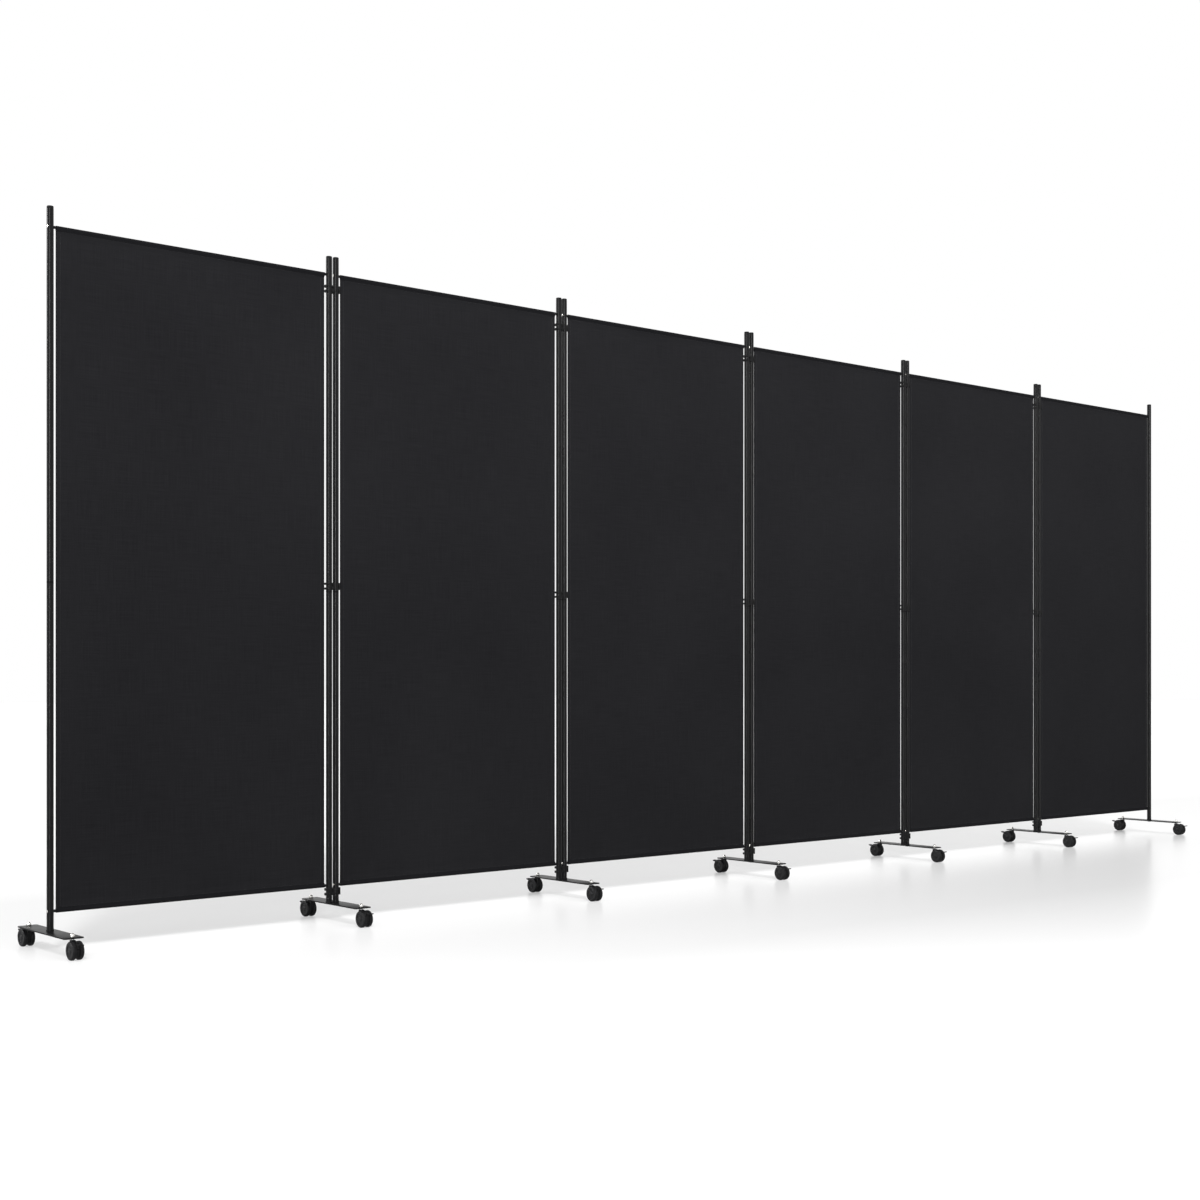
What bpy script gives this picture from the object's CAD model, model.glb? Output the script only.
import bpy
import bmesh
import math
from mathutils import Matrix, Vector


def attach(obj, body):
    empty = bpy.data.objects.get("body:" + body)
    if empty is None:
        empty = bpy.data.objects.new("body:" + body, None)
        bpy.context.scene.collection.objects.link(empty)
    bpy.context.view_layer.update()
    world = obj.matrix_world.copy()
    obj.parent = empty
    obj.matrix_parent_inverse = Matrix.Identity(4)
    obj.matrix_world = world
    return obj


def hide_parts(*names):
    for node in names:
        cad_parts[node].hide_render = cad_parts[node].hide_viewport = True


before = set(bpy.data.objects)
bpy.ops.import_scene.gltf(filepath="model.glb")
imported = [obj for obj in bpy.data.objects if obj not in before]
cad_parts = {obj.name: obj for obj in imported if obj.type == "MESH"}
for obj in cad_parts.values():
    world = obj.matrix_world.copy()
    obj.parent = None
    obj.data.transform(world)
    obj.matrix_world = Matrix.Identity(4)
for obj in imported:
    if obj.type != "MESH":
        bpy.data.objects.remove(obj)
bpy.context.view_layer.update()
scene = bpy.context.scene
print("frame loaded,", len(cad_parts), "nodes")

# Places that the pieces share, in metres: X along the screen, -Y towards the viewer, Z up
screen = {
    "panels": 6,
    "panelWidth": 0.753,        # between the axes of its two poles
    "pairPitch": 0.0203,        # between the two poles that one foot carries
    "topRod": 1.6793,
    "bottomRod": 0.0963,
    "plateUnder": 0.047,
    "plateTop": 0.050,
    "stemOut": 0.1205,          # from the middle of a plate to a caster's stem
    "wheelRadius": 0.0215,
    "trail": 0.0138,            # from a stem to its wheels' axle
}
sides = ("front", "back")


def leftX(panel):
    pitch = screen["panelWidth"] + screen["pairPitch"]
    whole = screen["panels"] * pitch - screen["pairPitch"]
    return -whole / 2 + (panel - 1) * pitch


def rightX(panel):
    return leftX(panel) + screen["panelWidth"]


def footX(number):
    return leftX(number) if number <= screen["panels"] else rightX(screen["panels"])


def aimAlong(direction):
    # the rotation at which a camera or a lamp looks that way
    return Vector(direction).to_track_quat("-Z", "Y").to_euler()


# Camera, at the photograph's place
photoView = {
    "place": (-4.01145, -3.89920, 0.65239),
    "turn": 0.85570,            # from +X, in radians, and level
    "sensor": 36,
    "lens": 52.676,
    "shiftX": -0.000167,
    "shiftY": 0.0590,
    "clipEnd": 200,
}
bpy.ops.object.camera_add(location=photoView["place"])
camera = bpy.context.object
camera.name = "photoCamera"
camera.rotation_euler = aimAlong((math.cos(photoView["turn"]), math.sin(photoView["turn"]), 0))
camera.data.sensor_width = photoView["sensor"]
camera.data.lens = photoView["lens"]
camera.data.shift_x = photoView["shiftX"]
camera.data.shift_y = photoView["shiftY"]
camera.data.clip_end = photoView["clipEnd"]
scene.camera = camera
scene.view_settings.view_transform = "Standard"
print("camera placed")


def fromHex(code):
    # an sRGB hex colour as linear red, green and blue, opaque
    parts = [int(code[at:at + 2], 16) / 255 for at in (1, 3, 5)]
    return [part / 12.92 if part <= 0.04045 else ((part + 0.055) / 1.055) ** 2.4 for part in parts] + [1]


def addNode(tree, kind, settings=None, links=None):
    # settings and links name an input or give its number, and a setting can be the node's own option
    node = tree.nodes.new(kind)
    for key, value in (settings or {}).items():
        if isinstance(key, str) and hasattr(node, key):
            setattr(node, key, value)
        else:
            node.inputs[key].default_value = value
    for key, source in (links or {}).items():
        tree.links.new(source, node.inputs[key])
    return node


def emptyTree(owner):
    # the node tree of a material or of the world, with nothing in it
    owner.use_nodes = True
    owner.node_tree.nodes.clear()
    return owner.node_tree


def startMaterial(name):
    # a new material, its node tree and the object's own coordinates, for its patterns
    material = bpy.data.materials.new(name)
    tree = emptyTree(material)
    return material, tree, addNode(tree, "ShaderNodeTexCoord").outputs["Object"]


def endMaterial(tree, finish, patterns):
    # the shader with its plain values and the patterns that lead into it
    shader = addNode(tree, "ShaderNodeBsdfPrincipled", finish, patterns)
    addNode(tree, "ShaderNodeOutputMaterial", {}, {"Surface": shader.outputs["BSDF"]})


bandScale = 0.314       # over a spacing in metres, it is the Scale of a wave texture with that spacing


# Polyester, plain woven from dyed yarn: matt charcoal with fine threads across and down.
# The real threads are 0.4 mm apart; they are drawn 1.2 mm apart so that they show.
def makeWovenPolyester(name, dark, light):
    polyester, tree, place = startMaterial(name)
    threads = []
    for direction in ("X", "Z"):
        wave = addNode(tree, "ShaderNodeTexWave", {"bands_direction": direction, "Scale": bandScale / 0.0012},
                       {"Vector": place})
        threads.append(addNode(tree, "ShaderNodeMath", {"operation": "MULTIPLY_ADD", 1: 2, 2: -1},
                               {0: wave.outputs["Fac"]}))
    weave = addNode(tree, "ShaderNodeMath", {"operation": "MULTIPLY"},
                    {0: threads[0].outputs[0], 1: threads[1].outputs[0]})
    bump = addNode(tree, "ShaderNodeBump", {"Strength": 0.5, "Distance": 0.00012},
                   {"Height": weave.outputs[0]})
    # yarn a little paler here and there, 2 mm wide and 80 mm long each way, and clouds of 0.45 m
    tones = []
    for stretch in ((12, 12, 500), (500, 12, 12)):
        mapping = addNode(tree, "ShaderNodeMapping", {"Scale": stretch}, {"Vector": place})
        tones.append(addNode(tree, "ShaderNodeTexNoise", {"Scale": 1, "Detail": 2},
                             {"Vector": mapping.outputs[0]}))
    cloudy = addNode(tree, "ShaderNodeTexNoise", {"Scale": 2.2, "Detail": 1}, {"Vector": place})
    both = addNode(tree, "ShaderNodeMath", {"operation": "ADD"},
                   {0: tones[0].outputs["Fac"], 1: tones[1].outputs["Fac"]})
    mixed = addNode(tree, "ShaderNodeMath", {"operation": "MULTIPLY_ADD", 1: 0.7},
                    {0: cloudy.outputs["Fac"], 2: both.outputs[0]})
    spread = addNode(tree, "ShaderNodeMapRange", {"From Min": 0.9, "From Max": 1.8},
                     {"Value": mixed.outputs[0]})
    shade = addNode(tree, "ShaderNodeMix", {"data_type": "RGBA", 6: fromHex(dark), 7: fromHex(light)},
                    {0: spread.outputs[0]})
    finish = {"Roughness": 0.9, "Specular IOR Level": 0.03, "Sheen Weight": 0.005, "Sheen Roughness": 0.5}
    endMaterial(tree, finish, {"Base Color": shade.outputs[2], "Normal": bump.outputs["Normal"]})
    return polyester


wovenPolyester = makeWovenPolyester("wovenPolyester", "#1b1b1d", "#242426")
foldedHem = makeWovenPolyester("foldedHem", "#1b1b1d", "#232325")
# The sleeves round the rods let no light through from behind, which makes them look darker.
sewnSleeve = makeWovenPolyester("sewnSleeve", "#161618", "#1d1d1f")


# Polyester sewing thread: a soft sheen, one shade paler than the cloth, its twist drawn 0.7 mm long
sewingThread, tree, place = startMaterial("sewingThread")
twist = addNode(tree, "ShaderNodeTexNoise", {"Scale": 1500}, {"Vector": place})
shade = addNode(tree, "ShaderNodeMix", {"data_type": "RGBA", 6: fromHex("#2a2a2c"), 7: fromHex("#38383a")},
                {0: twist.outputs["Fac"]})
endMaterial(tree, {"Roughness": 0.6, "Specular IOR Level": 0.3, "Sheen Weight": 0.2},
            {"Base Color": shade.outputs[2]})


# Powder-coated steel: satin black, with the faint orange peel that a baked powder leaves.
# Its bumps are 0.8 mm apart, drawn 1.6 mm apart; its slow patches are 0.11 m wide.
powderCoat, tree, place = startMaterial("powderCoatedSteel")
peel = addNode(tree, "ShaderNodeTexNoise", {"Scale": 1 / 0.0016, "Detail": 2}, {"Vector": place})
bump = addNode(tree, "ShaderNodeBump", {"Strength": 0.4, "Distance": 0.00006},
               {"Height": peel.outputs["Fac"]})
patches = addNode(tree, "ShaderNodeTexNoise", {"Scale": 9, "Detail": 3}, {"Vector": place})
shade = addNode(tree, "ShaderNodeMix", {"data_type": "RGBA", 6: fromHex("#0b0b0c"), 7: fromHex("#111112")},
                {0: patches.outputs["Fac"]})
gloss = addNode(tree, "ShaderNodeMapRange", {"To Min": 0.24, "To Max": 0.32},
                {"Value": patches.outputs["Fac"]})
endMaterial(tree, {"Roughness": 0.3, "Specular IOR Level": 0.15},
            {"Base Color": shade.outputs[2], "Roughness": gloss.outputs[0], "Normal": bump.outputs["Normal"]})


# Stove enamel on flat steel: smooth and only faintly glossy, with a ripple of 6 mm and smudges of 22 mm
stoveEnamel, tree, place = startMaterial("stoveEnamelledSteel")
wavy = addNode(tree, "ShaderNodeTexNoise", {"Scale": 1 / 0.006, "Detail": 1}, {"Vector": place})
bump = addNode(tree, "ShaderNodeBump", {"Strength": 0.15, "Distance": 0.0001},
               {"Height": wavy.outputs["Fac"]})
smudge = addNode(tree, "ShaderNodeTexNoise", {"Scale": 45, "Detail": 4}, {"Vector": place})
shade = addNode(tree, "ShaderNodeMix", {"data_type": "RGBA", 6: fromHex("#0f0f10"), 7: fromHex("#171718")},
                {0: smudge.outputs["Fac"]})
gloss = addNode(tree, "ShaderNodeMapRange", {"To Min": 0.3, "To Max": 0.42}, {"Value": smudge.outputs["Fac"]})
endMaterial(tree, {"Roughness": 0.35, "Specular IOR Level": 0.06},
            {"Base Color": shade.outputs[2], "Roughness": gloss.outputs[0], "Normal": bump.outputs["Normal"]})


# Nickel plate on steel: mirror bright, with the faint bloom of handling in spots of 3 mm
nickelPlate, tree, place = startMaterial("nickelPlatedSteel")
bloom = addNode(tree, "ShaderNodeTexNoise", {"Scale": 350, "Detail": 3}, {"Vector": place})
shade = addNode(tree, "ShaderNodeMix", {"data_type": "RGBA", 6: fromHex("#d6d4cf"), 7: fromHex("#ecebe8")},
                {0: bloom.outputs["Fac"]})
gloss = addNode(tree, "ShaderNodeMapRange", {"To Min": 0.08, "To Max": 0.2}, {"Value": bloom.outputs["Fac"]})
endMaterial(tree, {"Metallic": 1, "Roughness": 0.12},
            {"Base Color": shade.outputs[2], "Roughness": gloss.outputs[0]})


# Zinc plate on turned steel: greyer and duller than nickel, in clouds of 4 mm, with the lathe's fine rings.
# The real rings are 0.1 mm apart, drawn 0.5 mm apart.
zincPlate, tree, place = startMaterial("zincPlatedSteel")
rings = addNode(tree, "ShaderNodeTexWave",
                {"bands_direction": "Z", "Scale": bandScale / 0.0005, "Distortion": 1}, {"Vector": place})
bump = addNode(tree, "ShaderNodeBump", {"Strength": 0.2, "Distance": 0.00005},
               {"Height": rings.outputs["Fac"]})
clouds = addNode(tree, "ShaderNodeTexNoise", {"Scale": 250, "Detail": 2}, {"Vector": place})
shade = addNode(tree, "ShaderNodeMix", {"data_type": "RGBA", 6: fromHex("#9c9da0"), 7: fromHex("#bfc0c2")},
                {0: clouds.outputs["Fac"]})
endMaterial(tree, {"Metallic": 1, "Roughness": 0.35},
            {"Base Color": shade.outputs[2], "Normal": bump.outputs["Normal"]})


# Nylon, moulded in a spark-eroded tool: near black, with a grain that breaks its shine.
# The real grain is 0.2 mm, drawn at 0.6 or 0.8 mm; the flow of the melt shows in patches of 8 mm.
def makeMouldedNylon(name, dark, light, smooth, rough, grain, shine):
    nylon, tree, place = startMaterial(name)
    speck = addNode(tree, "ShaderNodeTexNoise", {"Scale": 1 / grain, "Detail": 3}, {"Vector": place})
    bump = addNode(tree, "ShaderNodeBump", {"Strength": 0.3, "Distance": 0.00006},
                   {"Height": speck.outputs["Fac"]})
    flow = addNode(tree, "ShaderNodeTexNoise", {"Scale": 120, "Detail": 2}, {"Vector": place})
    shade = addNode(tree, "ShaderNodeMix", {"data_type": "RGBA", 6: fromHex(dark), 7: fromHex(light)},
                    {0: flow.outputs["Fac"]})
    gloss = addNode(tree, "ShaderNodeMapRange", {"To Min": smooth, "To Max": rough},
                    {"Value": flow.outputs["Fac"]})
    endMaterial(tree, {"IOR": 1.53, "Specular IOR Level": shine},
                {"Base Color": shade.outputs[2], "Roughness": gloss.outputs[0],
                 "Normal": bump.outputs["Normal"]})
    return nylon


hoodNylon = makeMouldedNylon("mouldedNylonHood", "#0d0d0e", "#141415",
                             smooth=0.42, rough=0.56, grain=0.0006, shine=0.12)
wheelNylon = makeMouldedNylon("mouldedNylonWheel", "#101011", "#18181a",
                              smooth=0.38, rough=0.5, grain=0.0008, shine=0.15)
clipNylon = makeMouldedNylon("mouldedNylonClip", "#0d0d0e", "#131314",
                             smooth=0.45, rough=0.6, grain=0.0006, shine=0.12)
# Rubber, moulded the same way: blacker and duller
sealRubber = makeMouldedNylon("mouldedRubberSeal", "#050506", "#0a0a0a",
                              smooth=0.7, rough=0.8, grain=0.0008, shine=0.06)
print("materials made")


mergeDistance = 0.000002        # within this, two corners of the CAD's loose triangles are one
masters = []                    # the pieces that are copied, removed at the end


def selectOnly(*objects):
    bpy.ops.object.select_all(action="DESELECT")
    for thing in objects:
        thing.select_set(True)
    bpy.context.view_layer.objects.active = objects[-1] if objects else None


def editAll():
    # edit mode, with all of the active piece selected
    bpy.ops.object.mode_set(mode="EDIT")
    bpy.ops.mesh.select_all(action="SELECT")


def placeInMesh(piece):
    selectOnly(piece)
    bpy.ops.object.transform_apply(location=True, rotation=True, scale=True)


def shadeSmooth(piece, angle):
    selectOnly(piece)
    bpy.ops.object.shade_smooth_by_angle(angle=math.radians(angle))


def smoothEdges(piece, width, steps=2):
    # rounds the edges of more than 35 degrees, then shades what is left smoothly
    sharp = 35
    selectOnly(piece)
    rounding = piece.modifiers.new("rounding", "BEVEL")
    rounding.width = width
    rounding.segments = steps
    rounding.limit_method = "ANGLE"
    rounding.angle_limit = math.radians(sharp)
    bpy.ops.object.modifier_apply(modifier="rounding")
    shadeSmooth(piece, sharp)


def addBlock(size, place, tilt=0):
    # a block of that size, tilted about X, with its middle at the place
    selectOnly()
    bpy.ops.mesh.primitive_cube_add(size=1, location=place)
    block = bpy.context.object
    block.scale = size
    block.rotation_euler = (tilt, 0, 0)
    placeInMesh(block)
    return block


def turnedBar(profile, around):
    # a closed round bar along Z, grown ring by ring from (radius, height) pairs
    selectOnly()
    radius, height = profile[0]
    bpy.ops.mesh.primitive_circle_add(vertices=around, radius=radius, fill_type="NGON",
                                      location=(0, 0, height))
    bar = bpy.context.object
    editAll()
    for nextRadius, nextHeight in profile[1:]:
        bpy.ops.mesh.extrude_region_move(TRANSFORM_OT_translate={"value": (0, 0, nextHeight - height)})
        grow = nextRadius / radius
        bpy.ops.transform.resize(value=(grow, grow, 1), center_override=(0, 0, nextHeight))
        radius, height = nextRadius, nextHeight
    bpy.ops.mesh.select_all(action="SELECT")
    bpy.ops.mesh.normals_make_consistent(inside=False)
    bpy.ops.object.mode_set(mode="OBJECT")
    placeInMesh(bar)
    return bar


def joined(*pieces):
    selectOnly(*pieces)
    bpy.ops.object.join()
    return bpy.context.object


def boxAround(spots):
    # the low and the high corner of the box round some places
    return [Vector([pick(spot[axis] for spot in spots) for axis in range(3)]) for pick in (min, max)]


def sizeOf(piece):
    low, high = boxAround(piece.bound_box)
    return high - low


def solidsOf(node):
    # the separate solids of a CAD node, each merged, as new objects
    copy = bpy.data.objects.new("solid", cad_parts[node].data.copy())
    scene.collection.objects.link(copy)
    selectOnly(copy)
    editAll()
    bpy.ops.mesh.remove_doubles(threshold=mergeDistance)
    bpy.ops.mesh.separate(type="LOOSE")
    bpy.ops.object.mode_set(mode="OBJECT")
    found = list(bpy.context.selected_objects)
    for solid in found:
        selectOnly(solid)
        editAll()
        bpy.ops.mesh.dissolve_limited(angle_limit=math.radians(0.6))
        bpy.ops.object.mode_set(mode="OBJECT")
    return found


def asMaster(piece, material):
    # a piece in its finish, ready to be copied
    piece.data.materials.clear()
    piece.data.materials.append(material)
    masters.append(piece)
    return piece


def copyTo(master, name, place, body, turn=0):
    # a copy with its own mesh, turned about Z and moved there, riding on the body
    piece = bpy.data.objects.new(name, master.data.copy())
    scene.collection.objects.link(piece)
    piece.data.transform(Matrix.Translation(place) @ Matrix.Rotation(turn, 4, "Z"))
    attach(piece, body)
    return piece


def atCaster(number, side):
    # the place and the turn about Z of a caster's stem
    if side == "front":
        return Vector((footX(number), -screen["stemOut"], 0)), math.pi
    return Vector((footX(number), screen["stemOut"], 0)), 0


# Poles and rods: the CAD tubes, where the size of a solid tells its finish
poleSolids = {
    "screwTall": 0.009,         # a rod screw is less tall than this
    "capTall": 0.03,            # a cap or a collar is less tall than this
    "narrow": 0.03,             # and all three are less wide than this
}


def finishPoles(node):
    mesh = node.data
    mesh.materials.clear()
    for material in (powderCoat, nickelPlate, hoodNylon):
        mesh.materials.append(material)
    shape = bmesh.new()
    shape.from_mesh(mesh)
    number = shape.faces.layers.int.new("number")
    for face in shape.faces:
        face[number] = face.index
    bmesh.ops.remove_doubles(shape, verts=shape.verts, dist=mergeDistance)
    # faces that share corners are one solid
    unseen = set(shape.faces)
    while unseen:
        solid, waiting = [], [unseen.pop()]
        while waiting:
            face = waiting.pop()
            solid.append(face)
            near = {other for corner in face.verts for other in corner.link_faces} & unseen
            unseen -= near
            waiting.extend(near)
        low, high = boxAround([corner.co for face in solid for corner in face.verts])
        size = high - low
        finish = 0
        if size.x < poleSolids["narrow"]:
            if size.z < poleSolids["screwTall"]:
                finish = 1
            elif size.z < poleSolids["capTall"]:
                finish = 2
        for face in solid:
            mesh.polygons[face[number]].material_index = finish
    shape.free()


for panel in range(1, screen["panels"] + 1):
    finishPoles(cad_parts[f"frame_{panel}"])
print("poles finished")


# Seam rings: a thin black band round each pole, over the groove where its two tubes meet
seamRing = {
    "height": 0.8575,
    "poleRadius": 0.008,
    "clear": 0.00001,           # between the pole and the band
    "proud": 0.00012,           # the band's thickness
    "tall": 0.0024,
    "rounding": 0.00005,
}


def makeSeamRing():
    selectOnly()
    inner = seamRing["poleRadius"] + seamRing["clear"]
    bpy.ops.mesh.primitive_cylinder_add(vertices=64, radius=inner, depth=seamRing["tall"],
                                        end_fill_type="NOTHING", location=(0, 0, seamRing["height"]))
    ring = bpy.context.object
    placeInMesh(ring)
    wall = ring.modifiers.new("wall", "SOLIDIFY")
    wall.thickness = seamRing["proud"]
    wall.offset = 1
    bpy.ops.object.modifier_apply(modifier="wall")
    smoothEdges(ring, seamRing["rounding"])
    return ring


ringMaster = asMaster(makeSeamRing(), sealRubber)
for panel in range(1, screen["panels"] + 1):
    for side, x in (("left", leftX(panel)), ("right", rightX(panel))):
        copyTo(ringMaster, f"seamRing_{panel}_{side}", Vector((x, 0, 0)), f"panel_{panel}")
print("seam rings fitted")


# Cloth panels: a sheet with a sleeve sewn round each rod, hems at its sides, and rows of stitches
cloth = {
    "width": 0.7248,
    "thickness": 0.0007,
    "setBack": 0.0012,          # behind the middle of the poles
    "sleeveRadius": 0.00418,    # of the sheet's middle, round a rod
    "seamDrop": 0.0082,         # from a rod's axis to its sleeve's seam
    "flap": 0.0035,             # cloth beyond the seam
    "flapStep": 1.04,           # how far behind the sheet the flap lies, in thicknesses
    "columns": 72,
    "rows": 84,
    "pullDepth": 0.0005,        # of the faint lines that the rods pull in the cloth
    "pullsUp": (0.3, ((1, 71, 1), (0.6, 117, 2.4))),      # reach, and each wave's size, pace and start
    "pullsDown": (0.2, ((0.6, 63, 0.5), (0.3, 131, 0))),
    "fadeIn": 0.02,             # from a seam to where the lines have their full depth
    "fadeSide": 0.06,           # and the same from a hem
    "hemWidth": 0.0125,
    "hemThickness": 0.0014,
    "hemBehind": 0.00015,       # from the sheet's middle to the hem's
    "hemPast": 0.0003,          # beyond the sheet's edge
    "hemGap": 0.0008,           # between its end and a sleeve's seam
    "hemCut": 0.8,              # the height where its long faces are halved
    "hemRounding": 0.0004,
    "stitchPitch": 0.0034,
    "stitchSize": (0.0024, 0.00055, 0.0004),      # long, wide and proud
    "stitchInset": 0.002,       # from the hem's inner edge to its stitches
    "hemRowEnd": 0.003,         # from a seam to the first stitch of a hem
    "seamRowEnd": 0.016,        # from the sheet's edge to the first stitch of a seam
}
seamTop = screen["topRod"] - cloth["seamDrop"]
seamBottom = screen["bottomRod"] + cloth["seamDrop"]


def clothPath():
    # the sheet's middle in (Y, Z), from the flap behind the top rod to the flap behind the bottom rod
    back, radius = cloth["setBack"], cloth["sleeveRadius"]
    behind = back + cloth["thickness"] * cloth["flapStep"]
    # over the top rod, from 30 degrees below its back to 30 degrees below its front; mirrored at the bottom
    wrap = [math.radians(-30 + 12 * step) for step in range(21)]
    path = [(behind, seamTop - cloth["flap"]), (behind, seamTop)]
    for angle in wrap:
        path.append((radius * math.cos(angle), screen["topRod"] + radius * math.sin(angle)))
    for row in range(cloth["rows"] + 1):
        path.append((back, seamTop - row / cloth["rows"] * (seamTop - seamBottom)))
    for angle in reversed(wrap):
        path.append((radius * math.cos(angle), screen["bottomRod"] - radius * math.sin(angle)))
    path += [(behind, seamBottom), (behind, seamBottom + cloth["flap"])]
    return path


def pulledOut(across, height):
    # shallow pull lines that run up from the bottom rod and down from the top rod
    fromBottom, fromTop = height - seamBottom, seamTop - height
    if fromBottom < 0 or fromTop < 0:
        return 0
    total = 0
    for distance, (reach, waves) in ((fromBottom, cloth["pullsUp"]), (fromTop, cloth["pullsDown"])):
        pull = sum(size * math.sin(across * pace + start) for size, pace, start in waves)
        total += math.exp(-distance / reach) * pull
    fromHem = cloth["width"] / 2 - abs(across) - cloth["hemWidth"]
    fade = min(1, min(fromBottom, fromTop) / cloth["fadeIn"]) * max(0, min(1, fromHem / cloth["fadeSide"]))
    return cloth["pullDepth"] * fade * total


def makeSheet():
    path = clothPath()
    spots, faces = [], []
    wide = cloth["columns"] + 1
    for y, z in path:
        for column in range(wide):
            x = cloth["width"] * (column / cloth["columns"] - 0.5)
            spots.append((x, y + pulledOut(x, z), z))
    for row in range(len(path) - 1):
        for column in range(wide - 1):
            first = row * wide + column
            faces.append((first, first + 1, first + wide + 1, first + wide))
    mesh = bpy.data.meshes.new("sheet")
    mesh.from_pydata(spots, [], faces)
    sheet = bpy.data.objects.new("sheet", mesh)
    scene.collection.objects.link(sheet)
    selectOnly(sheet)
    thicken = sheet.modifiers.new("thicken", "SOLIDIFY")
    thicken.thickness = cloth["thickness"]
    thicken.offset = 0
    bpy.ops.object.modifier_apply(modifier="thicken")
    editAll()
    bpy.ops.mesh.normals_make_consistent(inside=False)
    bpy.ops.object.mode_set(mode="OBJECT")
    shadeSmooth(sheet, angle=50)
    length = sum(math.dist(here, there) for here, there in zip(path, path[1:]))
    return sheet, length


def makeHems():
    # a folded strip along each side of the sheet, a little proud of both its faces
    high, low = seamTop - cloth["hemGap"], seamBottom + cloth["hemGap"]
    strips = []
    for side in (-1, 1):
        middle = side * (cloth["width"] / 2 - cloth["hemWidth"] / 2 + cloth["hemPast"])
        strip = addBlock((cloth["hemWidth"], cloth["hemThickness"], high - low),
                         (middle, cloth["setBack"] + cloth["hemBehind"], (low + high) / 2))
        editAll()
        bpy.ops.mesh.bisect(plane_co=(middle, 0, cloth["hemCut"]), plane_no=(0, 0, 1))
        bpy.ops.object.mode_set(mode="OBJECT")
        smoothEdges(strip, cloth["hemRounding"], steps=3)
        strips.append(strip)
    return joined(*strips)


def makeStitches():
    # one stitch, repeated in a row along each hem and each seam, on both faces
    middle, thick = cloth["setBack"], cloth["thickness"]
    hemX = cloth["width"] / 2 - cloth["hemWidth"] + cloth["stitchInset"]
    lines = []
    for side in (-1, 1):
        for face in (-1, 1):
            y = middle + cloth["hemBehind"] + face * cloth["hemThickness"] / 2
            lines.append(((side * hemX, y, seamBottom + cloth["hemRowEnd"]), "Z",
                          seamTop - seamBottom - 2 * cloth["hemRowEnd"]))
    for z in (seamBottom, seamTop):
        for y in (middle - thick / 2, middle + thick * 1.5):      # the sheet's front and the flap's back
            lines.append(((-cloth["width"] / 2 + cloth["seamRowEnd"], y, z), "X",
                          cloth["width"] - 2 * cloth["seamRowEnd"]))
    long, wide, proud = cloth["stitchSize"]
    step = cloth["stitchPitch"]
    rows = []
    for place, along, length in lines:
        selectOnly()
        bpy.ops.mesh.primitive_uv_sphere_add(segments=5, ring_count=4, radius=0.5, location=place)
        stitch = bpy.context.object
        stitch.scale = (long, proud, wide) if along == "X" else (wide, proud, long)
        placeInMesh(stitch)
        bpy.ops.object.shade_smooth()
        repeat = stitch.modifiers.new("repeat", "ARRAY")
        repeat.use_relative_offset = False
        repeat.use_constant_offset = True
        repeat.constant_offset_displace = (step, 0, 0) if along == "X" else (0, 0, step)
        repeat.count = int(length / step)
        bpy.ops.object.modifier_apply(modifier="repeat")
        rows.append(stitch)
    return joined(*rows)


sheet, clothLength = makeSheet()
sheetMaster = asMaster(sheet, wovenPolyester)
sheetMaster.data.materials.append(sewnSleeve)
for face in sheetMaster.data.polygons:
    if face.center.z > seamTop or face.center.z < seamBottom:
        face.material_index = 1
hemMaster = asMaster(makeHems(), foldedHem)
stitchMaster = asMaster(makeStitches(), sewingThread)
for panel in range(1, screen["panels"] + 1):
    place = Vector((leftX(panel) + screen["panelWidth"] / 2, 0, 0))
    body = f"panel_{panel}"
    sheet = copyTo(sheetMaster, f"clothSheet_{panel}", place, body)
    hems = copyTo(hemMaster, f"sideHems_{panel}", place, body)
    stitches = copyTo(stitchMaster, f"stitches_{panel}", place, body)
    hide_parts(f"cloth_{panel}")
print("cloth panels hung")


# Feet: plate, pole bolt, stems and dome nuts
foot = {
    "plateWidth": 0.048,
    "plateLength": 0.262,
    "cornerRadius": 0.005,
    "edgeRounding": 0.0005,
    "clear": 0.00005,           # between the plate and what is screwed to it
    "nutAcross": 0.010,         # its hexagon, from flat to flat
    "nutHex": 0.0048,           # and how tall that is
    "nutRounding": 0.0005,
    # the turned rings between hexagon and dome, each with its radius and its height above the hexagon
    "nutShoulder": ((0.0047, -0.0006), (0.0049, 0.0001), (0.00485, 0.0003)),
    "domeRadius": 0.0047,
    "stemRadius": 0.003,
    "stemBottom": 0.03125,      # above the floor
    "stemTop": 0.0047,          # above the plate
    "threadChamfer": 0.0004,
    "collarRadius": 0.0045,
    "collarTall": 0.0015,
    "collarChamfer": 0.0003,
    "boltLength": 0.0209,
    "headRadius": 0.005,
    "headTall": 0.0036,
    "headChamfer": 0.0006,
    "headEdge": 0.0002,
    "socketRadius": 0.0023,
    "socketDepth": 0.002,
}


def makePlate():
    thick = screen["plateTop"] - screen["plateUnder"]
    size = (foot["plateWidth"], foot["plateLength"], thick)
    plate = addBlock(size, (0, 0, screen["plateUnder"] + thick / 2))
    # the four upright edges, for its round corners
    bpy.ops.object.mode_set(mode="EDIT")
    bpy.ops.mesh.select_all(action="DESELECT")
    shape = bmesh.from_edit_mesh(plate.data)
    for edge in shape.edges:
        if abs(edge.verts[0].co.z - edge.verts[1].co.z) > thick / 2:
            edge.select_set(True)
    bmesh.update_edit_mesh(plate.data)
    bpy.ops.mesh.bevel(offset=foot["cornerRadius"], segments=10, affect="EDGES")
    bpy.ops.object.mode_set(mode="OBJECT")
    smoothEdges(plate, foot["edgeRounding"], steps=3)
    return plate


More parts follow.
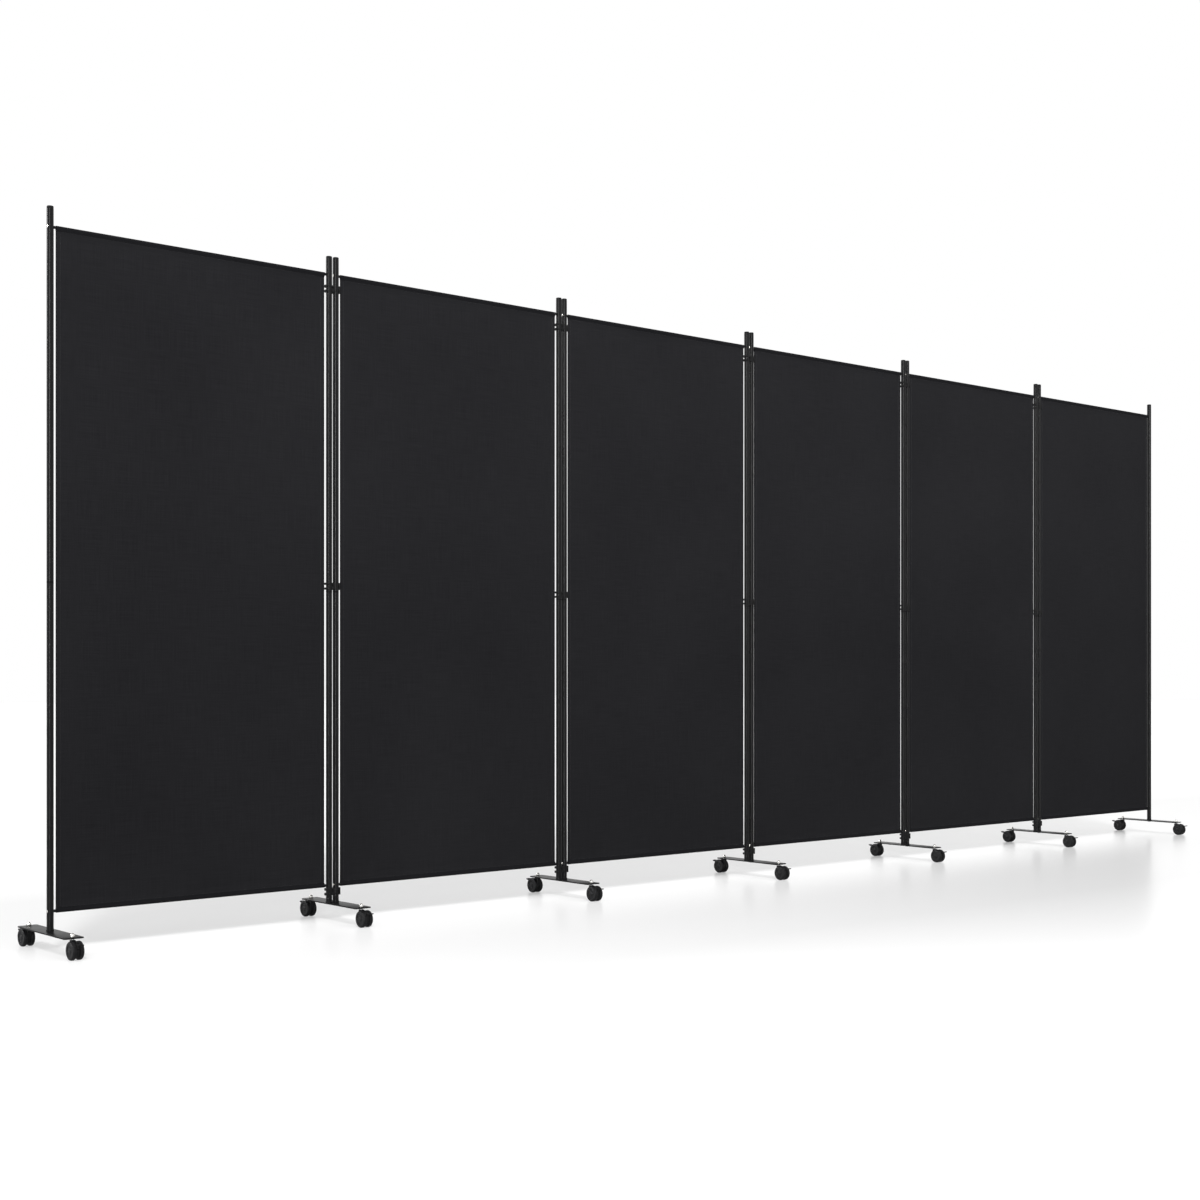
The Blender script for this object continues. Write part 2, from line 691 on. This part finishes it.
def makeNut():
    bottom, tall = screen["plateTop"] + foot["clear"], foot["nutHex"]
    corner = foot["nutAcross"] / 2 / math.cos(math.pi / 6)
    selectOnly()
    bpy.ops.mesh.primitive_cylinder_add(vertices=6, radius=corner, depth=tall,
                                        location=(0, 0, bottom + tall / 2))
    hexagon = bpy.context.object
    placeInMesh(hexagon)
    smoothEdges(hexagon, foot["nutRounding"], steps=3)
    # the turned shoulder and the dome above it
    shoulder, radius = bottom + tall, foot["domeRadius"]
    profile = [(out, shoulder + up) for out, up in foot["nutShoulder"]]
    for step in range(9):
        angle = math.radians(4 + 10.4 * step)
        profile.append((radius * math.cos(angle), shoulder + radius * math.sin(angle)))
    dome = turnedBar(profile, around=40)
    shadeSmooth(dome, angle=40)
    return joined(hexagon, dome)


def makeStem():
    radius, thin = foot["stemRadius"], foot["stemRadius"] - foot["threadChamfer"]
    bottom, top = foot["stemBottom"], screen["plateTop"] + foot["stemTop"]
    collar, chamfer = foot["collarRadius"], foot["collarChamfer"]
    seat = screen["plateUnder"] - foot["clear"]
    under = seat - foot["collarTall"]
    stem = turnedBar([
        (thin, bottom), (radius, bottom + foot["threadChamfer"]), (radius, under), (collar - chamfer, under),
        (collar, under + chamfer), (collar, seat - chamfer), (collar - chamfer, seat), (radius, seat),
        (radius, top - foot["threadChamfer"]), (thin, top),
    ], around=32)
    shadeSmooth(stem, angle=40)
    return stem


def makePoleBolt():
    radius, head, edge = foot["stemRadius"], foot["headRadius"], foot["headEdge"]
    seat = screen["plateUnder"] - foot["clear"]
    under, top = seat - foot["headTall"], seat + foot["boltLength"]
    bolt = turnedBar([
        (head - foot["headChamfer"], under), (head, under + foot["headChamfer"]), (head, seat - edge),
        (head - edge, seat), (radius, seat), (radius, top - foot["threadChamfer"]),
        (radius - foot["threadChamfer"], top),
    ], around=36)
    # the hexagon socket in its head
    selectOnly()
    bpy.ops.mesh.primitive_cylinder_add(vertices=6, radius=foot["socketRadius"],
                                        depth=2 * foot["socketDepth"], location=(0, 0, under))
    socket = bpy.context.object
    placeInMesh(socket)
    selectOnly(bolt)
    cut = bolt.modifiers.new("socket", "BOOLEAN")
    cut.operation = "DIFFERENCE"
    cut.object = socket
    bpy.ops.object.modifier_apply(modifier="socket")
    bpy.data.objects.remove(socket)
    shadeSmooth(bolt, angle=40)
    return bolt


# Clips: three on each pair of poles, the CAD clip with its moulded edges rounded
poleClip = {
    "heights": {"top": 1.643, "middle": 0.8718, "bottom": 0.0797},
    "rounding": 0.0005,
}


def makeClip():
    # a clip is wider than the first of these, and its height is between the other two
    wide, low, high = 0.035, 0.015, 0.02
    found = solidsOf("foot_plate_2")
    clips = [solid for solid in found if sizeOf(solid).x > wide and low < sizeOf(solid).z < high]
    clip = min(clips, key=lambda solid: boxAround(solid.bound_box)[0].z)
    bottom, top = boxAround(clip.bound_box)
    clip.data.transform(Matrix.Translation((-footX(2), 0, -(bottom.z + top.z) / 2)))
    for solid in found:
        if solid != clip:
            bpy.data.objects.remove(solid)
    smoothEdges(clip, poleClip["rounding"])
    return clip


plateMaster = asMaster(makePlate(), stoveEnamel)
nutMaster = asMaster(makeNut(), nickelPlate)
stemMaster = asMaster(makeStem(), zincPlate)
boltMaster = asMaster(makePoleBolt(), zincPlate)
clipMaster = asMaster(makeClip(), clipNylon)
for k in range(1, screen["panels"] + 2):
    body, place = f"foot_{k}", Vector((footX(k), 0, 0))
    plate = copyTo(plateMaster, f"footPlate_{k}", place, body)
    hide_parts(f"foot_plate_{k}")
    copyTo(boltMaster, f"poleBolt_{k}", place, body)
    for side in sides:
        at, turn = atCaster(k, side)
        copyTo(stemMaster, f"casterStem_{k}_{side}", at, body, turn)
        copyTo(nutMaster, f"domeNut_{k}_{side}", at, body, turn)
    if 1 < k <= screen["panels"]:      # the feet at the two ends carry one pole, with no clips
        for where, height in poleClip["heights"].items():
            at = place + Vector((0, 0, height))
            copyTo(clipMaster, f"poleClip_{k}_{where}", at, body)
print("feet made")


# Casters: wheels, brake lever, hood and pins, modelled with the stem on the Z axis
wheel = {
    "gap": 0.010,               # between the two wheels of a pair
    "width": 0.009,
    "bore": 0.006,
    "innerChamfer": 0.001,
    "grooves": (0.0022, 0.0038),      # in the tread, from its inner edge
    "grooveDepth": 0.00025,
    "grooveWall": 0.0002,
    "grooveFloor": 0.0003,
    "edge": 0.0035,             # the radius between tread and face
    "rim": 0.0075,              # from the tread to the recess in the face
    "recess": 0.0008,           # its depth, and the slant of its walls
    "hub": 0.0055,              # its radius
    "hubCrown": ((0, 0.0003), (0.0006, 0.0001)),      # inwards from the hub's edge, and below its face
    "hubTip": 0.0012,           # the radius of the flat in its middle
    "pockets": 5,
    "pocketShare": 0.84,        # of the way to the next pocket
    "pocketDepth": 0.0007,
    "pocketWall": 0.0005,
}


def makeWheel():
    outer, inner = screen["wheelRadius"], wheel["gap"] / 2
    face = inner + wheel["width"]
    chamfer = wheel["innerChamfer"]
    profile = [(wheel["bore"], inner), (outer - chamfer, inner), (outer, inner + chamfer)]
    for groove in wheel["grooves"]:
        start, sunk = inner + groove, outer - wheel["grooveDepth"]
        bed = start + wheel["grooveWall"]
        profile += [(outer, start), (sunk, bed), (sunk, bed + wheel["grooveFloor"]),
                    (outer, bed + wheel["grooveFloor"] + wheel["grooveWall"])]
    bend = wheel["edge"]
    for step in range(1, 7):
        angle = math.radians(15 * step)
        profile.append((outer - bend * (1 - math.cos(angle)), face - bend * (1 - math.sin(angle))))
    hub, rim, slant = wheel["hub"], outer - wheel["rim"], wheel["recess"]
    sunkFace = face - wheel["recess"]
    profile += [(rim, face), (rim - slant, sunkFace), (hub + 2 * slant, sunkFace), (hub + slant, sunkFace)]
    profile += [(hub - inwards, face - below) for inwards, below in wheel["hubCrown"]]
    profile.append((wheel["hubTip"], face))
    tyre = turnedBar(profile, around=60)
    # pockets between the spokes, sunk into the widest ring of the recess
    slack = 0.0001
    sector = 2 * math.pi / wheel["pockets"]
    bpy.ops.object.mode_set(mode="EDIT")
    bpy.context.tool_settings.mesh_select_mode = (False, False, True)
    for pocket in range(wheel["pockets"]):
        bpy.ops.mesh.select_all(action="DESELECT")
        shape = bmesh.from_edit_mesh(tyre.data)
        for part in shape.faces:
            at = part.calc_center_median()
            angle = math.atan2(at.y, at.x) - (pocket + 0.5) * sector
            aside = abs((angle + math.pi) % (2 * math.pi) - math.pi)
            inRing = hub + 2 * slant + slack < math.hypot(at.x, at.y) < rim - slant - slack
            if inRing and abs(at.z - sunkFace) < slack and aside < sector * wheel["pocketShare"] / 2:
                part.select_set(True)
        bmesh.update_edit_mesh(tyre.data)
        bpy.ops.mesh.inset(thickness=wheel["pocketWall"])
        bpy.ops.transform.translate(value=(0, 0, -wheel["pocketDepth"]))
    bpy.ops.object.mode_set(mode="OBJECT")
    tyre.rotation_euler = (0, math.pi / 2, 0)
    placeInMesh(tyre)
    shadeSmooth(tyre, angle=32)
    return tyre


def makeWheelPair():
    right = makeWheel()
    left = bpy.data.objects.new("left", right.data.copy())
    scene.collection.objects.link(left)
    left.data.transform(Matrix.Rotation(math.pi, 4, "Z"))
    pair = joined(left, right)
    pair.data.transform(Matrix.Translation((0, screen["trail"], screen["wheelRadius"])))
    return pair


lever = {
    "rounding": 0.0006,
    "slope": 0.155,             # of its tab, up towards the tip
    "ribs": (0.0022, 0.0042, 0.0062),      # from the tip
    "ribSize": (0.009, 0.0008, 0.0009),
    "ribRounding": 0.00025,
}


def makeLever():
    # the CAD lever with rounded edges, and three ribs across its tab for the shoe
    solid = solidsOf("brake_lever_2_back")[0]
    solid.data.transform(Matrix.Translation((-footX(2), -screen["stemOut"], 0)))
    smoothEdges(solid, lever["rounding"])
    tip = boxAround(solid.bound_box)[1]
    ribs = []
    for inward in lever["ribs"]:
        spot = (0, tip.y - inward, tip.z - inward * lever["slope"])
        rib = addBlock(lever["ribSize"], spot, math.atan(lever["slope"]))
        smoothEdges(rib, lever["ribRounding"])
        ribs.append(rib)
    return joined(*reversed(ribs), solid)


casterHood = {"rounding": 0.0006, "pinRounding": 0.0002}


def makeHood():
    # the CAD hood with rounded edges, and its axle and lever pin
    found = solidsOf("caster_2_back")
    found.sort(key=lambda solid: sizeOf(solid).z)
    for solid in found:
        solid.data.transform(Matrix.Translation((-footX(2), -screen["stemOut"], 0)))
    hood = found[-1]      # the tallest
    smoothEdges(hood, casterHood["rounding"])
    pins = joined(*found[:-1])
    smoothEdges(pins, casterHood["pinRounding"])
    return hood, pins


wheelMaster = asMaster(makeWheelPair(), wheelNylon)
leverMaster = asMaster(makeLever(), hoodNylon)
hood, pins = makeHood()
hoodMaster = asMaster(hood, hoodNylon)
pinMaster = asMaster(pins, zincPlate)
for k in range(1, screen["panels"] + 2):
    for side in sides:
        at, turn = atCaster(k, side)
        tag, swivel = f"{k}_{side}", f"swivel_{k}_{side}"
        hood = copyTo(hoodMaster, f"casterHood_{tag}", at, swivel, turn)
        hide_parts(f"caster_{tag}")
        copyTo(pinMaster, f"casterPins_{tag}", at, swivel, turn)
        pair = copyTo(wheelMaster, f"wheelPair_{tag}", at, f"wheel_pair_{tag}", turn)
        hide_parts(f"wheels_{tag}")
        loose = f"brake_lever_{tag}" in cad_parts
        body = f"lever_{tag}" if loose else swivel
        press = copyTo(leverMaster, f"brakeLever_{tag}", at, body, turn)
        if loose:
            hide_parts(f"brake_lever_{tag}")
for master in masters:
    bpy.data.objects.remove(master)
print("casters made")


# Room: white background, pale floor and soft lamps
room = {
    "skyLight": 0.3,
    "floorSize": 60,
    "floorColour": "#e0e0e0",
    "floorLift": 0.39,          # the floor's own light, as the camera sees it
    "farLift": 0.7,             # the same out where the lamps don't reach
    "liftFrom": 0.9,            # how far before or behind the screen it starts to grow
    "liftFull": 1.9,
    "floorGloss": 0.24,
    "floorShine": 0.57,         # mirrored share where the floor is seen at its flattest
    "shineFrom": 0.83,          # how flat it is seen where the mirroring starts
    "shineFull": 0.93,
    "stripPower": 42,
    "stripPlace": (-1.2, -1.3, 1.9),
    "stripAim": 1.6,            # its light falls level with the top of the cloth
    "stripSize": (8, 0.5),
    # strength, softness in degrees, where the light comes from, and if it throws shadows: the back lamp
    # throws none, so that the floor in front stays clear of the screen's long shadow
    "lamps": {
        "keyLamp": (1.2, 8, (-0.4, -0.6, 0.6), True),
        "frontLamp": (0.85, 8, (-0.66, -0.74, 0.15), True),
        "backLamp": (1.5, 10, (-0.8, 0.62, 0.35), False),
    },
}
white = (1, 1, 1, 1)
world = bpy.data.worlds.new("whiteRoom")
scene.world = world
tree = emptyTree(world)
rays = addNode(tree, "ShaderNodeLightPath")
cameraOrGloss = addNode(tree, "ShaderNodeMath", {"operation": "MAXIMUM"},
                        {0: rays.outputs["Is Camera Ray"], 1: rays.outputs["Is Glossy Ray"]})
seen = addNode(tree, "ShaderNodeMath", {"operation": "MAXIMUM"},
               {0: cameraOrGloss.outputs[0], 1: rays.outputs["Is Transmission Ray"]})
softSky = addNode(tree, "ShaderNodeBackground", {"Color": white, "Strength": room["skyLight"]})
whiteSky = addNode(tree, "ShaderNodeBackground", {"Color": white, "Strength": 1})
sky = addNode(tree, "ShaderNodeMixShader", {},
              {0: seen.outputs[0], 1: softSky.outputs[0], 2: whiteSky.outputs[0]})
addNode(tree, "ShaderNodeOutputWorld", {}, {"Surface": sky.outputs[0]})

selectOnly()
bpy.ops.mesh.primitive_plane_add(size=room["floorSize"], location=(0, 0, 0))
floor = bpy.context.object
floor.name = "studioFloor"
# Pale painted floor: matt, with a soft mirror image that grows as it is seen flatter
paleFloor, tree, place = startMaterial("palePaintedFloor")
paint = addNode(tree, "ShaderNodeBsdfDiffuse", {"Color": fromHex(room["floorColour"])})
rays = addNode(tree, "ShaderNodeLightPath")
away = addNode(tree, "ShaderNodeSeparateXYZ", {}, {0: place})
depth = addNode(tree, "ShaderNodeMath", {"operation": "ABSOLUTE"}, {0: away.outputs["Y"]})
liftRange = {"From Min": room["liftFrom"], "From Max": room["liftFull"],
             "To Min": room["floorLift"], "To Max": room["farLift"]}
reach = addNode(tree, "ShaderNodeMapRange", liftRange, {"Value": depth.outputs[0]})
lift = addNode(tree, "ShaderNodeMath", {"operation": "MULTIPLY"},
               {0: rays.outputs["Is Camera Ray"], 1: reach.outputs[0]})
glow = addNode(tree, "ShaderNodeEmission", {"Color": white}, {"Strength": lift.outputs[0]})
lifted = addNode(tree, "ShaderNodeAddShader", {}, {0: paint.outputs[0], 1: glow.outputs[0]})
polish = addNode(tree, "ShaderNodeBsdfGlossy", {"Color": white, "Roughness": room["floorGloss"]})
slant = addNode(tree, "ShaderNodeLayerWeight", {"Blend": 0.5})
shineRange = {"From Min": room["shineFrom"], "From Max": room["shineFull"], "To Max": room["floorShine"]}
mirrored = addNode(tree, "ShaderNodeMapRange", shineRange, {"Value": slant.outputs["Facing"]})
surface = addNode(tree, "ShaderNodeMixShader", {},
                  {0: mirrored.outputs[0], 1: lifted.outputs[0], 2: polish.outputs[0]})
addNode(tree, "ShaderNodeOutputMaterial", {}, {"Surface": surface.outputs[0]})
floor.data.materials.append(paleFloor)

stripPlace = Vector(room["stripPlace"])
bpy.ops.object.light_add(type="AREA", location=stripPlace)
strip = bpy.context.object
strip.name = "topStrip"
strip.data.shape = "RECTANGLE"
strip.data.size, strip.data.size_y = room["stripSize"]
strip.data.energy = room["stripPower"]
strip.rotation_euler = aimAlong(Vector((stripPlace.x, 0, room["stripAim"])) - stripPlace)
strip.visible_camera = False
strip.visible_glossy = False      # so that the poles mirror the compact lamps alone, as thin bright lines
for name, (strength, softness, source, shadow) in room["lamps"].items():
    bpy.ops.object.light_add(type="SUN", location=source)
    lamp = bpy.context.object
    lamp.name = name
    lamp.data.energy = strength
    lamp.data.angle = math.radians(softness)
    lamp.data.use_shadow = shadow
    lamp.rotation_euler = aimAlong(-Vector(source))
print("room lit")
